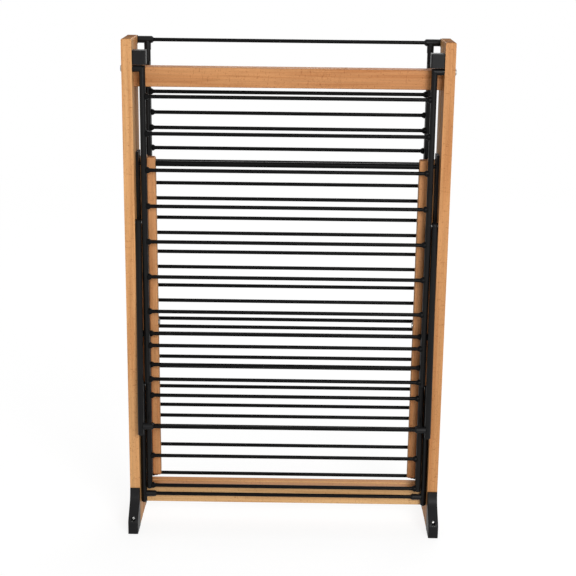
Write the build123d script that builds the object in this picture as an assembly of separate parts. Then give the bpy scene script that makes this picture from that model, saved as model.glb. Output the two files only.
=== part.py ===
import os
from math import asin, cos, degrees, radians, sin, sqrt

from build123d import *

os.makedirs("parts", exist_ok=True)

# Driving dimensions in mm. X is the width, Y the depth (front is -Y), Z is up.
width = 645.0
folded_depth = 185.0
post_height = 1014.0
post_width = 20.5
post_depth = 45.0
post_round = 3.5
post_lift = 2.0
frame_gap = 5.0

# Clearances between pieces that move past each other.
run_clear = 0.05
side_clear = 0.35
lane_clear = 0.35
shelf_clear = 0.7
panel_clear = 1.5
bush_step = 0.5
pin_clear = 0.3
seat_clear = 1.0

# Rails: drop of the top rail below the post tops, levels of the low rail.
top_rail_drop = 56.5
top_rail_tall = 38.5
low_rail_low = 40.0
low_rail_tall = 41.0
rail_thick = 16.0
rail_round = 2.0

# Tubes and rods of the folding panels.
wing_radius = 6.0
shelf_radius = 6.0
tube_wall = 1.2
rod_radius = 3.75
ferrule_radius = 6.3
ferrule_neck = 2.6
ferrule_long = 6.6
cap_head = 5.0
cap_stem = 4.0
cap_bevel = 2.2
tail = 10.0
shelf_tail = 6.5

# Wings hang outside the posts' front edge, shelves inside them.
wing_hinge_drop = 57.2
wing_first = 53.96
wing_pitch = 72.46
wing_rods = 9
shelf_hinge_z = 416.2
shelf_pitch = 66.5
shelf_rods = 6
shelf_lean = 1.2

# Middle panel, hung from the top of the rear posts.
panel_hinge_drop = 9.7
panel_rods = 9
panel_overhang = 8.0
tee_radius = 7.0
tee_collar = 6.8
tee_drop = 20.0
tee_reach = 6.0
tee_cone = 3.0
hinge_rod_radius = 3.7
ear_radius = 8.6
ear_wall = 3.0

# Struts: where they hang on their panel, their length and their rest lean.
strut_pivot = 304.0
strut_length = 444.4
strut_lean = 3.0
strut_radius = 6.2
strut_rod_radius = 3.75
strut_rod_back = 19.0
sleeve_radius = 6.6
sleeve_long = 19.5
sleeve_lip = 1.2
shelf_strut_pivot = 110.0
shelf_strut_reach = 33.4
shelf_strut_radius = 6.0
shelf_sleeve_radius = 6.3

# Bolts and pins.
head_proud = 1.0
hinge_radius = 3.0
hinge_deep = 9.0
pin_radius = 2.5
spacer_radius = 5.5

# Scissor arms and the slotted guides for their sliding pins.
arm_low_z = 100.0
arm_high_drop = 248.1
arm_half = 10.0
arm_round = 3.5
arm_reach = 14.0
arm_corner = 5.0
arm_offset = 9.0
outer_arm = 14.0
inner_arm = 17.0
arm_gap = 1.5
arm_pin_radius = 3.5
axle_radius = 5.6
mid_head_radius = 6.0
mid_head_tall = 2.6
guide_thick = 5.5
guide_width = 16.0
guide_low_end = 8.0
guide_high_end = 19.4
guide_round = 4.0

# Blocks on the front posts that carry the middle panel when it is turned over.
block_drop = 6.6
block_gap = 1.0
block_round = 2.5
block_inset = 1.5
block_back = 4.0

# Feet.
foot_high = 83.6
foot_rise = 0.26
foot_curve = [(0.9, 0.38), (0.6, 0.535), (0.27, 0.71)]
foot_lip = 3.5
foot_round = 2.5
foot_screw_z = 31.0
foot_screw_radius = 4.6
foot_screw_deep = 14.0
socket_radius = 4.0
socket_long = 24.0

# Values that follow from the ones above.
top_rail_high = post_height - top_rail_drop
wing_hinge_z = post_height - wing_hinge_drop
panel_hinge_z = post_height - panel_hinge_drop
arm_high_z = post_height - arm_high_drop
post_out = width / 2 - head_proud
post_in = post_out - post_width
post_mid = (post_in + post_out) / 2
post_back = frame_gap / 2
post_front = post_back + post_depth
foot_front = folded_depth / 2
rail_front = post_back + rail_thick
strut_x = post_in - side_clear - strut_radius
wing_x = strut_x - strut_radius - lane_clear - wing_radius
wing_y = post_front - wing_radius
wing_in = wing_x - wing_radius
bush_end = post_in - side_clear
wing_long = wing_first + wing_pitch * (wing_rods - 1) + tail
shelf_y = arm_offset + arm_half + shelf_clear + shelf_radius
shelf_long = shelf_pitch * (shelf_rods - 1) + shelf_tail
shelf_strut_length = shelf_long - shelf_strut_pivot + shelf_strut_reach
panel_y = wing_y + 2 * wing_radius + panel_clear
panel_long = wing_pitch * (panel_rods - 1) + tail
strut_hang_z = wing_hinge_z - strut_pivot
shelf_strut_hang_z = shelf_hinge_z - shelf_strut_pivot * cos(radians(shelf_lean))
shelf_strut_y = shelf_y + shelf_strut_pivot * sin(radians(shelf_lean))
guide_face = post_in - guide_thick
outer_high = guide_face - seat_clear
outer_low = outer_high - outer_arm
inner_high = outer_low - arm_gap
inner_low = inner_high - inner_arm
arm_rise = arm_high_z - arm_low_z
arm_long = sqrt(arm_rise**2 + (2 * arm_offset) ** 2)
arm_mid_z = (arm_low_z + arm_high_z) / 2

# The frames part until the turned-over panel ends just past the front posts.
open_travel = panel_long - panel_y - post_front - panel_overhang
pin_low_z = arm_low_z + sqrt(arm_long**2 - (open_travel + 2 * arm_offset) ** 2)


def bar(x0, x1, y, z, r):
    # Round bar along X.
    return Location(((x0 + x1) / 2, y, z), (0, 90, 0)) * Cylinder(r, abs(x1 - x0))


def column(x, y, z0, z1, r):
    # Round bar along Z.
    return Location((x, y, (z0 + z1) / 2)) * Cylinder(r, abs(z1 - z0))


def block(x0, x1, y0, y1, z0, z1):
    middle = ((x0 + x1) / 2, (y0 + y1) / 2, (z0 + z1) / 2)
    return Location(middle) * Box(x1 - x0, y1 - y0, z1 - z0)


def both(shape):
    # The same piece on the right and on the left.
    return Compound(children=[shape, mirror(shape, about=Plane.YZ)])


def spun(points):
    # Turned piece: a profile of (x, radius) points spun about X.
    return revolve(make_face(Polyline(*points, close=True)), Axis.X)


def hung(shape, y, z, lean=0.0):
    # Turn a hanging piece about X by its lean and put its pivot in place.
    return Location((0, y, z)) * Rotation(-lean, 0, 0) * shape


def eye_tube(x, long, r, hole, boss=0.0):
    # Tube that hangs from a rounded solid eye at the origin's level, with an
    # optional bush that fills the lane between the eye and the post.
    tube = column(x, 0, -long, r, r)
    crown = bar(x - r, x + r, 0, 0, r) + block(x - r, x + r, -r, r, -long, 0)
    tube = tube & crown
    tube -= column(x, 0, -long - 1, -2 * r, r - tube_wall)
    if boss:
        tube += bar(x, boss, 0, 0, r + bush_step)
        return tube - bar(x + r - hinge_deep, boss + 1, 0, 0, hole)
    return tube - bar(x - 2 * r, x + 2 * r, 0, 0, hole)


def end_cap(x, z, r):
    # Push-in plug with a bevelled head that closes the lower end of a tube.
    head = column(x, 0, z - cap_head, z, r)
    head = chamfer(head.edges().sort_by(Axis.Z)[0], cap_bevel)
    return head + column(x, 0, z, z + cap_stem, r - tube_wall - 2 * run_clear)


def ferrule_rod(tube_x, tube_r, z):
    # Cross rod with a moulded ferrule at each end, saddled on the side tubes.
    edge = tube_x - tube_r
    start = tube_x - 0.7 * tube_r
    half = [
        (edge - ferrule_long, rod_radius),
        (edge - ferrule_neck, ferrule_radius),
        (start, ferrule_radius),
        (start, 0),
    ]
    far = [(-x, r) for x, r in reversed(half)]
    rod = spun(far + half)
    for side in (-tube_x, tube_x):
        rod -= column(side, 0, -2 * tube_r, 2 * tube_r, tube_r)
    return Location((0, 0, z)) * rod


def plain_rod(tube_x, tube_r, z, r):
    # Cross rod without ferrules, its ends cut to the side tubes.
    rod = bar(-tube_x, tube_x, 0, 0, r)
    for side in (-tube_x, tube_x):
        rod -= column(side, 0, -2 * tube_r, 2 * tube_r, tube_r)
    return Location((0, 0, z)) * rod


def tee_sleeve(tube_x, tube_r, z, r, rod_r):
    # Sleeve over a strut's cross rod, saddled on the strut tube.
    start = tube_x - 0.7 * tube_r
    end = tube_x - tube_r - sleeve_long
    neck = end + 2 * sleeve_lip
    line = [(start, rod_r), (start, r), (neck, r), (end, rod_r + sleeve_lip), (end, rod_r)]
    sleeve = spun(line) - column(tube_x, 0, -2 * r, 2 * r, tube_r)
    return Location((0, 0, z)) * sleeve


# Frames.
def post(s):
    y_mid = s * (post_back + post_front) / 2
    y_low = y_mid - post_depth / 2
    body = block(post_in, post_out, y_low, y_low + post_depth, post_lift, post_height)
    body = fillet(body.faces().sort_by(Axis.Z)[-1].edges(), post_round)
    for y, z, r in bolt_places():
        body -= bar(post_in - 1, post_out + 1, s * y, z, r)
    return body


def bolt_places():
    # Depth, height and radius of the bolts through each post.
    return [
        (wing_y, wing_hinge_z, hinge_radius),
        (shelf_y, shelf_hinge_z, hinge_radius),
        (arm_offset, arm_low_z, arm_pin_radius),
    ]


def head_bolt(y, z, r, inner, spacer=None):
    # Low round head outside the post, shank through it to the inner end, and
    # where the piece it carries stands off the post, a spacer between the two.
    points = [(inner, 0), (inner, r)]
    if spacer:
        points += [(spacer, r), (spacer, spacer_radius), (post_in, spacer_radius), (post_in, r)]
    points += [(post_out, r), (post_out, 2.1 * r)]
    points += [(post_out + head_proud, 1.7 * r), (post_out + head_proud, 0)]
    return Location((0, y, z)) * spun(points)


def frame_bolts(s):
    wing_end = wing_x + wing_radius - hinge_deep + pin_clear
    shelf_end = wing_x + shelf_radius - hinge_deep + pin_clear
    arm_face = outer_high if s < 0 else inner_high
    arm_end = outer_low if s < 0 else inner_low
    ends = ((wing_end, None), (shelf_end, None), (arm_end, arm_face + pin_clear))
    bolts = []
    for (y, z, r), (end, spacer) in zip(bolt_places(), ends):
        bolts.append(head_bolt(s * y, z, r, end, spacer))
    return both(Compound(children=bolts))


def rail(z0, tall):
    body = block(-post_in, post_in, -rail_front, -post_back, z0, z0 + tall)
    return fillet(body.edges().filter_by(Axis.X), rail_round)


def foot():
    # Wedge foot: upright at the floor, then an S curve back to the post.
    run = foot_front - post_front
    start = (0, -foot_front, foot_rise * foot_high)
    end = (0, -post_front - foot_lip, foot_high)
    middle = [(0, -post_front - u * run, v * foot_high) for u, v in foot_curve]
    curve = Spline(start, *middle, end, tangents=((0, 0, 1), (0, 0.15, 1)))
    edges = [
        Line((0, -post_front, foot_high), (0, -post_front, 0)),
        Line((0, -post_front, 0), (0, -foot_front, 0)),
        Line((0, -foot_front, 0), start),
        curve,
        Line(end, (0, -post_front, foot_high)),
    ]
    body = extrude(make_face(edges), amount=post_width, dir=(1, 0, 0))
    body = Location((post_in, 0, 0)) * body
    seen = [e for e in body.edges() if e.center().Y < -post_front - 1 and e.center().Z > 1]
    rims = [e for e in seen if abs(e.center().X - post_mid) > 1 and e.center().Z < foot_high - 1]
    body = fillet(rims, foot_round)
    bore = Location((post_mid, -foot_front + foot_screw_deep / 2, foot_screw_z), (90, 0, 0))
    body -= bore * Cylinder(foot_screw_radius, foot_screw_deep)
    return body - column(post_mid, -(foot_front + post_front) / 2, 0, socket_long, socket_radius)


def guide():
    # Slotted strip on a post's inner face for the sliding arm pin.
    low = pin_low_z - arm_pin_radius - seat_clear
    high = arm_high_z + arm_pin_radius + seat_clear
    near = -arm_offset - guide_width / 2
    far = -arm_offset + guide_width / 2
    plate = block(guide_face, post_in, near, far, low - guide_low_end, high + guide_high_end)
    plate = fillet(plate.edges().filter_by(Axis.X), guide_round)
    half = arm_pin_radius + pin_clear + 0.1
    slot = block(guide_face - 1, post_in + 1, -arm_offset - half, -arm_offset + half, low, high)
    return plate - fillet(slot.edges().filter_by(Axis.X), half - 0.4)


def rest_block():
    high = panel_hinge_z - wing_radius - block_drop
    low = wing_hinge_z + wing_radius + bush_step + block_gap
    near = wing_in - block_inset
    far = -rail_front - block_back
    body = block(near, post_in, -post_front, far, low, high)
    return fillet(body.edges().filter_by(Axis.Z), block_round)


def panel_ear():
    # Ear behind a rear post with a blind hole for the middle panel's hinge rod.
    low = post_in + side_clear
    bottom = panel_hinge_z - ear_radius
    plate = block(low, post_out, post_front, panel_y, bottom, panel_hinge_z + ear_radius)
    back = bar(low, post_out, panel_y, panel_hinge_z, ear_radius)
    back -= block(low, post_out, 0, post_front, 0, 2 * post_height)
    hole = bar(post_in, post_out - ear_wall, panel_y, panel_hinge_z, hinge_rod_radius + run_clear)
    return plate + back - hole


# Wings and their struts.
def wing_tube():
    tube = eye_tube(wing_x, wing_long - cap_head, wing_radius, hinge_radius + run_clear, bush_end)
    tube -= bar(wing_x - wing_radius / 2, wing_x + 2 * wing_radius, 0, -strut_pivot, pin_radius)
    return hung(tube, -wing_y, wing_hinge_z)


def wing_cap():
    return hung(end_cap(wing_x, cap_head - wing_long, wing_radius), -wing_y, wing_hinge_z)


def wing_rod_set():
    levels = [-wing_first - i * wing_pitch for i in range(wing_rods)]
    rods = [ferrule_rod(wing_x, wing_radius, z) for z in levels]
    return hung(Compound(children=rods), -wing_y, wing_hinge_z)


def wing_pin():
    end = strut_x + strut_radius + pin_clear
    return bar(wing_x - wing_radius / 2, end, -wing_y, strut_hang_z, pin_radius)


def strut_tube():
    tube = eye_tube(strut_x, strut_length - cap_head, strut_radius, pin_radius + run_clear)
    return hung(tube, -wing_y, strut_hang_z, strut_lean)


def strut_cap():
    cap = end_cap(strut_x, cap_head - strut_length, strut_radius)
    return hung(cap, -wing_y, strut_hang_z, strut_lean)


def strut_rod():
    rod = plain_rod(strut_x, strut_radius, strut_rod_back - strut_length, strut_rod_radius)
    return hung(rod, -wing_y, strut_hang_z, strut_lean)


def strut_sleeve():
    level = strut_rod_back - strut_length
    sleeve = tee_sleeve(strut_x, strut_radius, level, sleeve_radius, strut_rod_radius)
    return hung(sleeve, -wing_y, strut_hang_z, strut_lean)


# Lower shelves and their struts.
def shelf_tube():
    tube = eye_tube(wing_x, shelf_long - cap_head, shelf_radius, hinge_radius + run_clear, bush_end)
    tube -= bar(wing_x - shelf_radius / 2, wing_x + 2 * shelf_radius, 0, -shelf_strut_pivot, pin_radius)
    return hung(tube, -shelf_y, shelf_hinge_z, shelf_lean)


def shelf_cap():
    cap = end_cap(wing_x, cap_head - shelf_long, shelf_radius)
    return hung(cap, -shelf_y, shelf_hinge_z, shelf_lean)


def shelf_rod_set():
    rods = [ferrule_rod(wing_x, shelf_radius, -i * shelf_pitch) for i in range(shelf_rods)]
    return hung(Compound(children=rods), -shelf_y, shelf_hinge_z, shelf_lean)


def shelf_pin():
    end = strut_x + shelf_strut_radius + pin_clear
    return bar(wing_x - shelf_radius / 2, end, -shelf_strut_y, shelf_strut_hang_z, pin_radius)


def shelf_strut_tube():
    tube = eye_tube(strut_x, shelf_strut_length - cap_head, shelf_strut_radius, pin_radius + run_clear)
    return hung(tube, -shelf_strut_y, shelf_strut_hang_z)


def shelf_strut_cap():
    cap = end_cap(strut_x, cap_head - shelf_strut_length, shelf_strut_radius)
    return hung(cap, -shelf_strut_y, shelf_strut_hang_z)


def shelf_strut_rod():
    level = strut_rod_back - shelf_strut_length
    rod = plain_rod(strut_x, shelf_strut_radius, level, rod_radius)
    return hung(rod, -shelf_strut_y, shelf_strut_hang_z)


def shelf_strut_sleeve():
    level = strut_rod_back - shelf_strut_length
    sleeve = tee_sleeve(strut_x, shelf_strut_radius, level, shelf_sleeve_radius, rod_radius)
    return hung(sleeve, -shelf_strut_y, shelf_strut_hang_z)


# Middle panel.
def panel_tube():
    tube = column(wing_x, 0, cap_head - panel_long, -wing_radius, wing_radius)
    tube -= column(wing_x, 0, -panel_long, 0, wing_radius - tube_wall)
    return hung(tube, panel_y, panel_hinge_z)


def panel_cap():
    return hung(end_cap(wing_x, cap_head - panel_long, wing_radius), panel_y, panel_hinge_z)


def panel_tee():
    # Moulded tee: sleeve on the hinge rod with a socket for the side tube.
    end = wing_in - tee_reach
    neck = end + tee_cone
    tip = hinge_rod_radius + 1
    line = [(post_in, 0), (post_in, tee_radius), (neck, tee_radius), (end, tip), (end, 0)]
    tee = spun(line) + column(wing_x, 0, -tee_drop, 0, tee_collar)
    tee -= bar(end - 1, post_in + 1, 0, 0, hinge_rod_radius)
    tee -= column(wing_x, 0, -tee_drop - 1, -wing_radius, wing_radius)
    return hung(tee, panel_y, panel_hinge_z)


def panel_rod_set():
    rods = [ferrule_rod(wing_x, wing_radius, -i * wing_pitch) for i in range(1, panel_rods)]
    return hung(Compound(children=rods), panel_y, panel_hinge_z)


def panel_hinge_rod():
    end = post_out - ear_wall - pin_clear
    return bar(-end, end, panel_y, panel_hinge_z, hinge_rod_radius)


# Scissor arms: the outer pair turns on the front posts, the inner on the rear.
def arm(x0, x1, mid_hole):
    # Rounded bar, its sliding upper end squared off past the axle.
    half = arm_long / 2
    plan = SlotCenterToCenter(arm_long, 2 * arm_half, rotation=90)
    plan += Location((0, half)) * RectangleRounded(2 * arm_half, 2 * arm_reach, arm_corner)
    body = extrude(Plane.YZ * plan, amount=x1 - x0)
    body = fillet(body.faces().filter_by(Axis.X).edges(), arm_round)
    holes = ((half, arm_pin_radius), (-half, arm_pin_radius + run_clear), (0, mid_hole))
    for z, r in holes:
        body -= bar(-1, x1 - x0 + 1, 0, z, r)
    lean = degrees(asin(2 * arm_offset / arm_long))
    return Location((x0, 0, arm_mid_z)) * Rotation(-lean, 0, 0) * body


def outer_arm_piece():
    return arm(outer_low, outer_high, hinge_radius)


def inner_arm_piece():
    body = arm(inner_low, inner_high, hinge_radius + run_clear)
    return mirror(body, about=Plane.XZ)


def axle(face, y):
    # Cross tube between two arms with a turned-down pin at each end.
    tip = post_in - side_clear
    half = [(face, axle_radius), (face, arm_pin_radius), (tip, arm_pin_radius), (tip, 0)]
    far = [(-x, r) for x, r in reversed(half)]
    return Location((0, y, arm_high_z)) * spun(far + half)


def mid_bolt():
    # Bolt through both arms at their crossing, fixed in the outer arm.
    near = inner_low - side_clear
    points = [
        (near - mid_head_tall, 0),
        (near - mid_head_tall, mid_head_radius),
        (near, mid_head_radius),
        (near, hinge_radius),
        (outer_high + pin_clear, hinge_radius),
        (outer_high + pin_clear, 0),
    ]
    return Location((0, 0, arm_mid_z)) * spun(points)


# Write one file per node.
def save(shape, name):
    export_step(shape, "parts/" + name + ".step")


def save_pair(shape, name):
    save(mirror(shape, about=Plane.YZ), name + "_left")
    save(shape, name + "_right")


def save_end(end):
    # The front half as drawn, the rear half as its mirror image.
    s = -1 if end == "front" else 1

    def turned(shape):
        return shape if s < 0 else mirror(shape, about=Plane.XZ)

    save_pair(post(s), end + "_post")
    save_pair(turned(foot()), end + "_foot")
    save(frame_bolts(s), end + "_bolts")
    singles = {
        "top_rail": rail(top_rail_high - top_rail_tall, top_rail_tall),
        "low_rail": rail(low_rail_low, low_rail_tall),
        "wing_rods": wing_rod_set(),
        "strut_rod": strut_rod(),
        "shelf_rods": shelf_rod_set(),
        "shelf_strut_rod": shelf_strut_rod(),
    }
    pairs = {
        "guides": guide(),
        "wing_tubes": wing_tube(),
        "wing_caps": wing_cap(),
        "wing_pins": wing_pin(),
        "strut_tubes": strut_tube(),
        "strut_sleeves": strut_sleeve(),
        "strut_caps": strut_cap(),
        "shelf_tubes": shelf_tube(),
        "shelf_caps": shelf_cap(),
        "shelf_pins": shelf_pin(),
        "shelf_strut_tubes": shelf_strut_tube(),
        "shelf_strut_sleeves": shelf_strut_sleeve(),
        "shelf_strut_caps": shelf_strut_cap(),
    }
    for name, shape in singles.items():
        save(turned(shape), end + "_" + name)
    for name, shape in pairs.items():
        save(turned(both(shape)), end + "_" + name)


save_end("front")
save_end("rear")
save(both(rest_block()), "front_rest_blocks")
save(both(panel_ear()), "rear_panel_brackets")
save(both(panel_tube()), "panel_tubes")
save(both(panel_cap()), "panel_caps")
save(both(panel_tee()), "panel_tees")
save(panel_rod_set(), "panel_rods")
save(panel_hinge_rod(), "panel_hinge_rod")
save(both(outer_arm_piece()), "outer_arms")
save(both(inner_arm_piece()), "inner_arms")
save(axle(outer_low, arm_offset), "outer_axle")
save(axle(inner_low, -arm_offset), "inner_axle")
save(both(mid_bolt()), "mid_bolts")
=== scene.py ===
import bpy
import math
from mathutils import Matrix, Vector


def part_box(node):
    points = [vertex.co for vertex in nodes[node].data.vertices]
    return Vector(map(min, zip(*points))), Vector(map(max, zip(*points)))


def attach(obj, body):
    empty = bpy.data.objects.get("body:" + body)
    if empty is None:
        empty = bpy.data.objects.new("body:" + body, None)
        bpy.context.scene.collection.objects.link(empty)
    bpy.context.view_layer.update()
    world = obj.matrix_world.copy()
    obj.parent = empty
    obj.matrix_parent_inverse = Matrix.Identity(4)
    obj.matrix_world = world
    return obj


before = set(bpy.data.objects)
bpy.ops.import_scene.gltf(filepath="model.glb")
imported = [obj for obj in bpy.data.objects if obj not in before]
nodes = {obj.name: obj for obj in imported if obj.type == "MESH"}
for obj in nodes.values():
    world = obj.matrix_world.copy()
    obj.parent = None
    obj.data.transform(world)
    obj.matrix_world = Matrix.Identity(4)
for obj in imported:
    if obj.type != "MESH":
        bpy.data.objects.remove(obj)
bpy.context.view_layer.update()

print("frame loaded:", len(nodes), "nodes")


def clearSelection():
    if bpy.context.object and bpy.context.object.mode != "OBJECT":
        bpy.ops.object.mode_set(mode="OBJECT")
    bpy.ops.object.select_all(action="DESELECT")


clearSelection()


# shader node helpers
def startMaterial(name):
    mat = bpy.data.materials.new(name)
    mat.use_nodes = True
    tree = mat.node_tree
    return mat, tree, tree.nodes["Principled BSDF"]


def addNode(tree, kind, **sockets):
    node = tree.nodes.new(kind)
    for name, value in sockets.items():
        node.inputs[name].default_value = value
    return node


def mathNode(tree, operation, *values):
    # Each value is an output to link or a plain number
    node = tree.nodes.new("ShaderNodeMath")
    node.operation = operation
    for socket, value in zip(node.inputs, values):
        if isinstance(value, float):
            socket.default_value = value
        else:
            tree.links.new(value, socket)
    return node.outputs[0]


def stretchedNoise(tree, coords, scale, detail, waver=0.0, shift=(0.0, 0.0, 0.0)):
    mapping = addNode(tree, "ShaderNodeMapping", Scale=scale, Location=shift)
    tree.links.new(coords.outputs["Object"], mapping.inputs["Vector"])
    noise = addNode(tree, "ShaderNodeTexNoise", Scale=1.0, Detail=detail, Distortion=waver)
    tree.links.new(mapping.outputs["Vector"], noise.inputs["Vector"])
    return noise.outputs["Fac"]


def ramp(tree, source, places, colours):
    node = tree.nodes.new("ShaderNodeValToRGB")
    band = node.color_ramp
    while len(band.elements) < len(places):
        band.elements.new(0.5)  # moved to its own place below
    for element, place, colour in zip(band.elements, places, colours):
        element.position = place
        element.color = (*colour, 1.0)
    tree.links.new(source, node.inputs["Fac"])
    return node.outputs["Color"]


def grey(value):
    return (value, value, value)


mixSockets = {"share": 0, "first": 6, "second": 7, "result": 2}  # a Mix node's colour sockets


def blend(tree, mode, first, second, share=1.0):
    mix = tree.nodes.new("ShaderNodeMix")
    mix.data_type = "RGBA"
    mix.blend_type = mode
    mix.inputs[mixSockets["share"]].default_value = share
    tree.links.new(first, mix.inputs[mixSockets["first"]])
    tree.links.new(second, mix.inputs[mixSockets["second"]])
    return mix.outputs[mixSockets["result"]]


def bump(tree, shader, source, strength, distance):
    node = addNode(tree, "ShaderNodeBump", Strength=strength, Distance=distance)
    tree.links.new(source, node.inputs["Height"])
    tree.links.new(node.outputs["Normal"], shader.inputs["Normal"])


# wood: board tones first, then tints that multiply them
beech = {
    "light": (0.71, 0.385, 0.164),
    "middle": (0.675, 0.345, 0.138),
    "deep": (0.63, 0.302, 0.113),
    "vein": (0.80, 0.68, 0.58),
    "lateRing": grey(0.88),
    "streakDark": grey(0.88),
    "streakPale": grey(1.04),
    "pore": (0.50, 0.38, 0.30),
    "ray": (0.66, 0.52, 0.42),
    "endGrain": (0.52, 0.46, 0.40),
    "edgeAxis": 0,  # the axis that the narrow faces look along, where the painted shade goes
    # painted shade: the posts' and arms' narrow side faces are multiplied darker
    "edge": (0.80, 0.82, 0.76),
}
paleBeech = {
    **beech,
    "light": (0.80, 0.505, 0.242),
    "middle": (0.75, 0.452, 0.208),
    "deep": (0.69, 0.392, 0.170),
    "edgeAxis": 2,
    # painted shade: the low rail's top and bottom faces are multiplied darker and redder
    "edge": (0.86, 0.66, 0.54),
}
redBeech = {
    **beech,
    "light": (0.66, 0.335, 0.140),
    "middle": (0.61, 0.290, 0.115),
    "deep": (0.54, 0.240, 0.090),
    "edgeAxis": 2,
    # painted shade: the top rail's top and bottom faces are multiplied a little darker
    "edge": (0.90, 0.84, 0.78),
}
warmBeech = {
    **beech,
    "light": (0.60, 0.300, 0.120),
    "middle": (0.56, 0.265, 0.100),
    "deep": (0.52, 0.232, 0.083),
}
armBeech = {
    **beech,
    "light": (0.60, 0.285, 0.120),
    "middle": (0.63, 0.298, 0.121),
    "deep": (0.60, 0.272, 0.102),
}

# noise waves per metre across and along the grain, where the tones change, and how much shows
grain = {
    "board": {"across": 7.0, "run": 1.1, "detail": 2.0, "stops": (0.30, 0.50, 0.72)},
    "rings": {
        "across": 95.0, "run": 2.2, "detail": 4.0, "stops": (0.38, 0.50, 0.56, 0.66), "share": 0.7,
        "waver": 0.55, "shift": (3.1, 7.7, 1.9),
    },
    "streaks": {"across": 420.0, "run": 9.0, "detail": 2.0, "stops": (0.36, 0.60), "share": 0.8},
    "pores": {"across": 1250.0, "run": 170.0, "detail": 1.0, "stops": (0.28, 0.37), "share": 0.7},
    "rays": {
        "across": 110.0, "run": 520.0, "detail": 1.0, "stops": (0.27, 0.33), "share": 0.8,
        "shift": (5.3, 1.7, 2.9),
    },
}
woodFinish = {
    "turnStops": (0.70, 0.94),  # how square on an end or narrow face is before the end grain's tint or the painted shade shows
    "sheenStops": (0.35, 0.65),
    "sheen": (0.62, 0.52),
    "dullStops": (0.60, 0.90),
    "endRough": 0.95,
    "specular": 0.18,
    "bump": 0.10,
    "height": 0.0004,
}


def beechMaterial(name, along, wood):
    # along is the grain's axis: 0 for X, 2 for Z
    mat, tree, shader = startMaterial(name)
    coords = tree.nodes.new("ShaderNodeTexCoord")
    plain = grey(1.0)

    patterns = {}
    for layer, look in grain.items():
        scale = [look["across"]] * 3
        scale[along] = look["run"]
        extras = {key: look[key] for key in ("waver", "shift") if key in look}
        patterns[layer] = stretchedNoise(tree, coords, scale, look["detail"], **extras)

    def toned(layer, *colours):
        return ramp(tree, patterns[layer], grain[layer]["stops"], colours)

    colour = toned("board", wood["deep"], wood["middle"], wood["light"])
    tints = {
        "rings": toned("rings", wood["vein"], plain, plain, wood["lateRing"]),
        "streaks": toned("streaks", wood["streakDark"], wood["streakPale"]),
        "pores": toned("pores", wood["pore"], plain),
        "rays": toned("rays", wood["ray"], plain),
    }
    for layer, tint in tints.items():
        colour = blend(tree, "MULTIPLY", colour, tint, grain[layer]["share"])

    # sawn ends get a darker end-grain tint, and the narrow faces get painted shade that darkens them
    facing = tree.nodes.new("ShaderNodeSeparateXYZ")
    tree.links.new(coords.outputs["Normal"], facing.inputs["Vector"])
    ends = mathNode(tree, "ABSOLUTE", facing.outputs[along])
    edges = mathNode(tree, "ABSOLUTE", facing.outputs[wood["edgeAxis"]])
    for turned, tint in ((ends, wood["endGrain"]), (edges, wood["edge"])):
        shade = ramp(tree, turned, woodFinish["turnStops"], (plain, tint))
        colour = blend(tree, "MULTIPLY", colour, shade)
    tree.links.new(colour, shader.inputs["Base Color"])

    sheenTones = [grey(rough) for rough in woodFinish["sheen"]]
    sheen = ramp(tree, patterns["rings"], woodFinish["sheenStops"], sheenTones)
    dullTones = (grey(0.0), grey(woodFinish["endRough"]))
    dull = ramp(tree, ends, woodFinish["dullStops"], dullTones)
    tree.links.new(blend(tree, "LIGHTEN", sheen, dull), shader.inputs["Roughness"])
    shader.inputs["Specular IOR Level"].default_value = woodFinish["specular"]
    bump(tree, shader, patterns["pores"], woodFinish["bump"], woodFinish["height"])
    return mat


# coated steel, moulded plastic and zinc plate
tubeCoat = {
    "dark": (0.0040, 0.0040, 0.0042),
    "light": (0.0054, 0.0053, 0.0053),
    "rough": (0.27, 0.33),
    "drift": 24.0,
    "grain": (1100.0, 1100.0, 1100.0),
    "bump": 0.02,
    "height": 0.0003,
    "metal": 0.0,
    "specular": 0.14,
}
rodCoat = {
    **tubeCoat,
    "dark": (0.0036, 0.0036, 0.0038),
    "light": (0.0046, 0.0046, 0.0047),
    "rough": (0.28, 0.33),
    "bump": 0.012,
    "specular": 0.06,
}
mouldedBlack = {
    "dark": (0.0046, 0.0046, 0.0050),
    "light": (0.0072, 0.0072, 0.0077),
    "rough": (0.42, 0.52),
    "drift": 55.0,
    "grain": (2300.0, 2300.0, 2300.0),
    "bump": 0.12,
    "height": 0.0003,
    "metal": 0.0,
    "specular": 0.16,
}
# painted shade: a darkened copy of the zinc, so the bolt heads and pins reflect less
shadedZinc = {
    "dark": (0.24, 0.24, 0.235),
    "light": (0.36, 0.355, 0.345),
    "rough": (0.30, 0.42),
    "drift": 260.0,
    "grain": (400.0, 3200.0, 3200.0),
    "bump": 0.08,
    "height": 0.0002,
    "metal": 1.0,
    "specular": 0.5,
}
# painted highlight: a brighter copy of the same zinc, which lifts the foot screws' glint
glintZinc = {
    **shadedZinc,
    "dark": (0.66, 0.66, 0.65),
    "light": (0.82, 0.81, 0.79),
    "rough": (0.20, 0.32),
}
speckle = {"driftDetail": 3.0, "grainDetail": 2.0, "toneStops": (0.32, 0.68), "roughStops": (0.30, 0.70)}


def speckledMaterial(name, look):
    # A slow drift of tone, a fine surface texture and uneven gloss
    mat, tree, shader = startMaterial(name)
    coords = tree.nodes.new("ShaderNodeTexCoord")
    drift = stretchedNoise(tree, coords, grey(look["drift"]), speckle["driftDetail"])
    tone = ramp(tree, drift, speckle["toneStops"], (look["dark"], look["light"]))
    tree.links.new(tone, shader.inputs["Base Color"])
    gloss = ramp(tree, drift, speckle["roughStops"], [grey(rough) for rough in look["rough"]])
    tree.links.new(gloss, shader.inputs["Roughness"])
    texture = stretchedNoise(tree, coords, look["grain"], speckle["grainDetail"])
    bump(tree, shader, texture, look["bump"], look["height"])
    shader.inputs["Metallic"].default_value = look["metal"]
    shader.inputs["Specular IOR Level"].default_value = look["specular"]
    return mat


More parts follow.
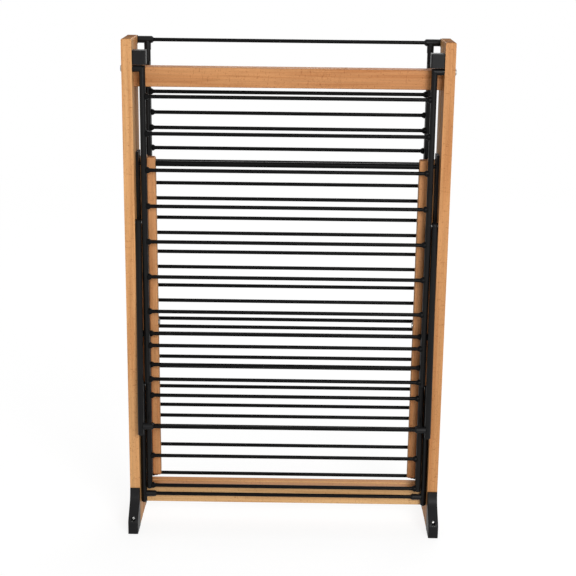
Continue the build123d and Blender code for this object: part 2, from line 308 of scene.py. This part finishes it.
woodPost = beechMaterial("beechPost", 2, beech)
woodWarmPost = beechMaterial("beechWarmPost", 2, warmBeech)
woodArm = beechMaterial("beechArm", 2, armBeech)
woodTopRail = beechMaterial("beechTopRail", 0, redBeech)
woodLowRail = beechMaterial("beechLowRail", 0, paleBeech)
tubeBlack = speckledMaterial("tubeCoat", tubeCoat)
rodBlack = speckledMaterial("rodCoat", rodCoat)
plasticBlack = speckledMaterial("mouldedBlack", mouldedBlack)
steelZinc = speckledMaterial("zincSteel", shadedZinc)
screwZinc = speckledMaterial("zincScrew", glintZinc)

warmPosts = ("front_post_right", "rear_post_left")
plasticWords = ("foot", "guides", "rest_blocks", "brackets", "sleeves", "caps", "tees")


def finishFor(node):
    if node.endswith("top_rail"):
        return woodTopRail
    if node.endswith("low_rail"):
        return woodLowRail
    if node.endswith("_arms"):
        return woodArm
    if "post" in node:
        return woodWarmPost if node in warmPosts else woodPost
    if node.endswith(("bolts", "pins")):
        return steelZinc
    if any(word in node for word in plasticWords):
        return plasticBlack
    return tubeBlack if node.endswith("tubes") else rodBlack


for node, obj in nodes.items():
    mat = finishFor(node)
    if not obj.material_slots:
        obj.data.materials.append(mat)
    for slot in obj.material_slots:
        slot.material = mat
print("finishes on the CAD nodes")


# small fasteners
def activate(obj):
    clearSelection()
    obj.select_set(True)
    bpy.context.view_layer.objects.active = obj


squareOn = 0.9  # a face looks up or down when its normal's Z passes this


def pickFaces(obj, test):
    # Leaves the object in edit mode with only the faces that pass selected
    activate(obj)
    bpy.ops.object.mode_set(mode="EDIT")
    bpy.ops.mesh.select_mode(type="FACE")
    bpy.ops.mesh.select_all(action="DESELECT")
    bpy.ops.object.mode_set(mode="OBJECT")
    for face in obj.data.polygons:
        face.select = test(face)
    bpy.ops.object.mode_set(mode="EDIT")


def applyBoolean(obj, operation, tool):
    mod = obj.modifiers.new("shape", "BOOLEAN")
    mod.operation = operation
    mod.solver = "EXACT"
    mod.object = tool
    activate(obj)
    bpy.ops.object.modifier_apply(modifier=mod.name)
    bpy.data.objects.remove(tool, do_unlink=True)


dome = {"sides": 36, "insets": (0.16, 0.22, 0.26)}  # insets are shares of the head's radius


def domedHead(name, look):
    # Head that faces +Z, its seat at the origin
    clearSelection()
    bpy.ops.mesh.primitive_cylinder_add(
        vertices=dome["sides"], radius=look["radius"], depth=look["height"],
        location=(0, 0, look["height"] / 2))
    obj = bpy.context.object
    obj.name = name
    bpy.ops.object.transform_apply(location=True, rotation=True, scale=True)
    for inset in dome["insets"]:
        pickFaces(obj, lambda face: face.normal.z > squareOn)
        bpy.ops.mesh.inset(thickness=look["radius"] * inset)
        bpy.ops.transform.translate(value=(0, 0, look["crown"] / len(dome["insets"])))
        bpy.ops.object.mode_set(mode="OBJECT")
    return obj


crossSlot = {"long": 1.15, "wide": 0.26, "taper": 0.6}  # shares of the radius, and of the slot's mouth


def crossRecess(radius, depth, top):
    # Two tapered slots for a screwdriver, joined into one cutter
    bars = []
    for turn in (0.0, math.pi / 2):
        clearSelection()
        bpy.ops.mesh.primitive_cube_add(size=1.0, location=(0, 0, top), rotation=(0, 0, turn))
        bar = bpy.context.object
        bar.scale = (radius * crossSlot["long"], radius * crossSlot["wide"], depth * 2)
        bpy.ops.object.transform_apply(location=True, rotation=True, scale=True)
        pickFaces(bar, lambda face: face.normal.z < -squareOn)
        bpy.ops.transform.resize(value=(crossSlot["taper"], crossSlot["taper"], 1.0))
        bpy.ops.object.mode_set(mode="OBJECT")
        bars.append(bar)
    applyBoolean(bars[0], "UNION", bars[1])
    return bars[0]


def hexRecess(radius, depth, top):
    clearSelection()
    bpy.ops.mesh.primitive_cylinder_add(vertices=6, radius=radius, depth=depth * 2, location=(0, 0, top))
    return bpy.context.object


smoothBelow = math.radians(35)


def placeCopy(pattern, name, matrix, body, material):
    obj = pattern.copy()
    obj.data = pattern.data.copy()
    obj.name = name
    obj.data.name = name
    obj.data.transform(matrix)
    obj.data.materials.clear()
    obj.data.materials.append(material)
    bpy.context.collection.objects.link(obj)
    activate(obj)
    bpy.ops.object.shade_smooth_by_angle(angle=smoothBelow)
    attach(obj, body)


outward = {"front": -1, "rear": 1}  # each frame's outer side, along Y

# rise is from the floor, sunk is how deep in the foot's nose the head seats
footScrew = {
    "radius": 0.0040,
    "height": 0.0016,
    "crown": 0.0012,
    "recess": 0.0012,
    "rise": 0.031,
    "sunk": 0.012,
}
screwHead = domedHead("footScrewPattern", footScrew)
screwTop = footScrew["height"] + footScrew["crown"]
screwSlots = crossRecess(footScrew["radius"], footScrew["recess"], screwTop)
applyBoolean(screwHead, "DIFFERENCE", screwSlots)
for end, facing in outward.items():
    for side in ("left", "right"):
        low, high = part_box(end + "_foot_" + side)
        nose = low.y if facing < 0 else high.y
        seat = Vector(((low.x + high.x) / 2, nose - facing * footScrew["sunk"], footScrew["rise"]))
        turn = Matrix.Rotation(math.radians(-90 * facing), 4, "X")
        placeCopy(screwHead, end + "FootScrew_" + side, Matrix.Translation(seat) @ turn,
                  end + "_frame", screwZinc)
bpy.data.objects.remove(screwHead, do_unlink=True)
print("foot screws placed")

boltHead = {"radius": 0.0066, "height": 0.0012, "crown": 0.0012, "socket": 0.0026, "depth": 0.0012}
# distance from the middle of the folded rack, then height
boltSpots = {"wing": (0.0415, 0.9568), "shelf": (0.0257, 0.4162), "arm": (0.009, 0.100)}
buttonHead = domedHead("boltPattern", boltHead)
buttonTop = boltHead["height"] + boltHead["crown"]
applyBoolean(buttonHead, "DIFFERENCE", hexRecess(boltHead["socket"], boltHead["depth"], buttonTop))
for end, facing in outward.items():
    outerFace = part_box(end + "_post_right")[1].x
    for spot, (depth, rise) in boltSpots.items():
        for side, way in (("left", -1), ("right", 1)):
            seat = Vector((way * outerFace, facing * depth, rise))
            turn = Matrix.Rotation(math.radians(90 * way), 4, "Y")
            placeCopy(buttonHead, end + "Bolt_" + spot + "_" + side, Matrix.Translation(seat) @ turn,
                      end + "_frame", steelZinc)
bpy.data.objects.remove(buttonHead, do_unlink=True)
print("bolt heads placed")


# floor, light and camera
def pickRays(tree):
    # 1 for what the camera sees straight, in a gloss or through glass
    rays = tree.nodes.new("ShaderNodeLightPath").outputs
    seen = mathNode(tree, "MAXIMUM", rays["Is Camera Ray"], rays["Is Glossy Ray"])
    return mathNode(tree, "MAXIMUM", seen, rays["Is Transmission Ray"])


# far from the rack the floor is all glow, and near it the lamps light a share that takes the shadow
floorLook = {
    "size": 60.0,
    "drop": 0.0006,
    "tone": 0.90,
    "rough": 0.9,
    "specular": 0.1,
    "reach": 4.0,
    "lit": 0.26,
    "boost": 0.125,  # extra glow by the rack, since the lit share is below white
}


def floorPool(tree):
    # 1 at the rack, falling to 0 at the reach
    coords = tree.nodes.new("ShaderNodeTexCoord")
    mapping = addNode(tree, "ShaderNodeMapping", Scale=grey(1.0 / floorLook["reach"]))
    pool = tree.nodes.new("ShaderNodeTexGradient")
    pool.gradient_type = "SPHERICAL"
    tree.links.new(coords.outputs["Object"], mapping.inputs["Vector"])
    tree.links.new(mapping.outputs["Vector"], pool.inputs["Vector"])
    return pool.outputs["Fac"]


clearSelection()
bpy.ops.mesh.primitive_plane_add(size=floorLook["size"], location=(0, 0, -floorLook["drop"]))
floor = bpy.context.object
floor.name = "studioFloor"
floorMat, floorTree, floorShader = startMaterial("paleFloor")
floorShader.inputs["Base Color"].default_value = (*grey(floorLook["tone"]), 1.0)
floorShader.inputs["Roughness"].default_value = floorLook["rough"]
floorShader.inputs["Specular IOR Level"].default_value = floorLook["specular"]
pool = floorPool(floorTree)
glow = floorTree.nodes.new("ShaderNodeEmission")
strength = mathNode(floorTree, "MULTIPLY_ADD", pool, floorLook["boost"], 1.0)
glowShare = mathNode(floorTree, "MULTIPLY_ADD", pool, -floorLook["lit"], 1.0)
seenShare = mathNode(floorTree, "MULTIPLY", pickRays(floorTree), glowShare)
floorMix = floorTree.nodes.new("ShaderNodeMixShader")
floorOut = floorTree.nodes["Material Output"]
floorTree.links.new(strength, glow.inputs["Strength"])
floorTree.links.new(seenShare, floorMix.inputs["Fac"])
floorTree.links.new(floorShader.outputs["BSDF"], floorMix.inputs[1])
floorTree.links.new(glow.outputs["Emission"], floorMix.inputs[2])
floorTree.links.new(floorMix.outputs["Shader"], floorOut.inputs["Surface"])
floor.data.materials.append(floorMat)

skyLook = {"seen": 1.0, "light": 0.32}  # white to the eye, softer as light on the rack
world = bpy.data.worlds.new("studioSky")
bpy.context.scene.world = world
world.use_nodes = True
sky = world.node_tree
white = (*grey(1.0), 1.0)
seenSky = sky.nodes["Background"]
seenSky.inputs["Color"].default_value = white
seenSky.inputs["Strength"].default_value = skyLook["seen"]
softSky = addNode(sky, "ShaderNodeBackground", Color=white, Strength=skyLook["light"])
skyMix = sky.nodes.new("ShaderNodeMixShader")
sky.links.new(pickRays(sky), skyMix.inputs["Fac"])
sky.links.new(softSky.outputs["Background"], skyMix.inputs[1])
sky.links.new(seenSky.outputs["Background"], skyMix.inputs[2])
sky.links.new(skyMix.outputs["Shader"], sky.nodes["World Output"].inputs["Surface"])

lamps = {
    "keyLamp": {"place": (1.1, -3.0, 1.6), "size": 1.3, "watts": 75.0},
    "fillLamp": {"place": (-1.3, -3.0, 1.8), "size": 2.6, "watts": 4.0},
    "backLamp": {"place": (0.6, 2.6, 2.4), "size": 2.4, "watts": 46.0},
}
aim = Vector((0.0, 0.0, 0.5))  # half way up the rack
for name, lamp in lamps.items():
    data = bpy.data.lights.new(name, "AREA")
    data.shape = "SQUARE"
    data.size = lamp["size"]
    data.energy = lamp["watts"]
    light = bpy.data.objects.new(name, data)
    light.location = lamp["place"]
    light.rotation_euler = (aim - light.location).to_track_quat("-Z", "Y").to_euler()
    bpy.context.collection.objects.link(light)

# camera matched to the photograph: frame, focal and centre in its pixels, turns in degrees
shot = {
    "frame": 576.0,
    "focal": 1281.5,
    "centre": (288.39, 262.0),
    "pitch": 14.561,
    "yaw": 0.353,
    "roll": 0.655,
    "place": (0.0198, -2.5246, 1.2200),
    "sensor": 36.0,
    "clip": (0.05, 200.0),
}
camData = bpy.data.cameras.new("photoCamera")
camData.sensor_width = shot["sensor"]
camData.lens = shot["focal"] / shot["frame"] * shot["sensor"]
camData.shift_x = (shot["frame"] / 2 - shot["centre"][0]) / shot["frame"]
camData.shift_y = (shot["centre"][1] - shot["frame"] / 2) / shot["frame"]
camData.clip_start, camData.clip_end = shot["clip"]
camera = bpy.data.objects.new("photoCamera", camData)
yaw, pitch, roll = (math.radians(shot[key]) for key in ("yaw", "pitch", "roll"))
across = Vector((math.cos(yaw), math.sin(yaw), 0.0))
level = Vector((-math.sin(yaw), math.cos(yaw), 0.0))
upright = math.sin(pitch) * level + Vector((0.0, 0.0, math.cos(pitch)))
right = math.cos(roll) * across + math.sin(roll) * upright
top = math.cos(roll) * upright - math.sin(roll) * across
back = right.cross(top)
turned = Matrix((right, top, back)).transposed().to_4x4()
camera.matrix_world = Matrix.Translation(shot["place"]) @ turned
bpy.context.collection.objects.link(camera)
bpy.context.scene.camera = camera
bpy.context.scene.view_settings.view_transform = "Standard"
print("studio ready")
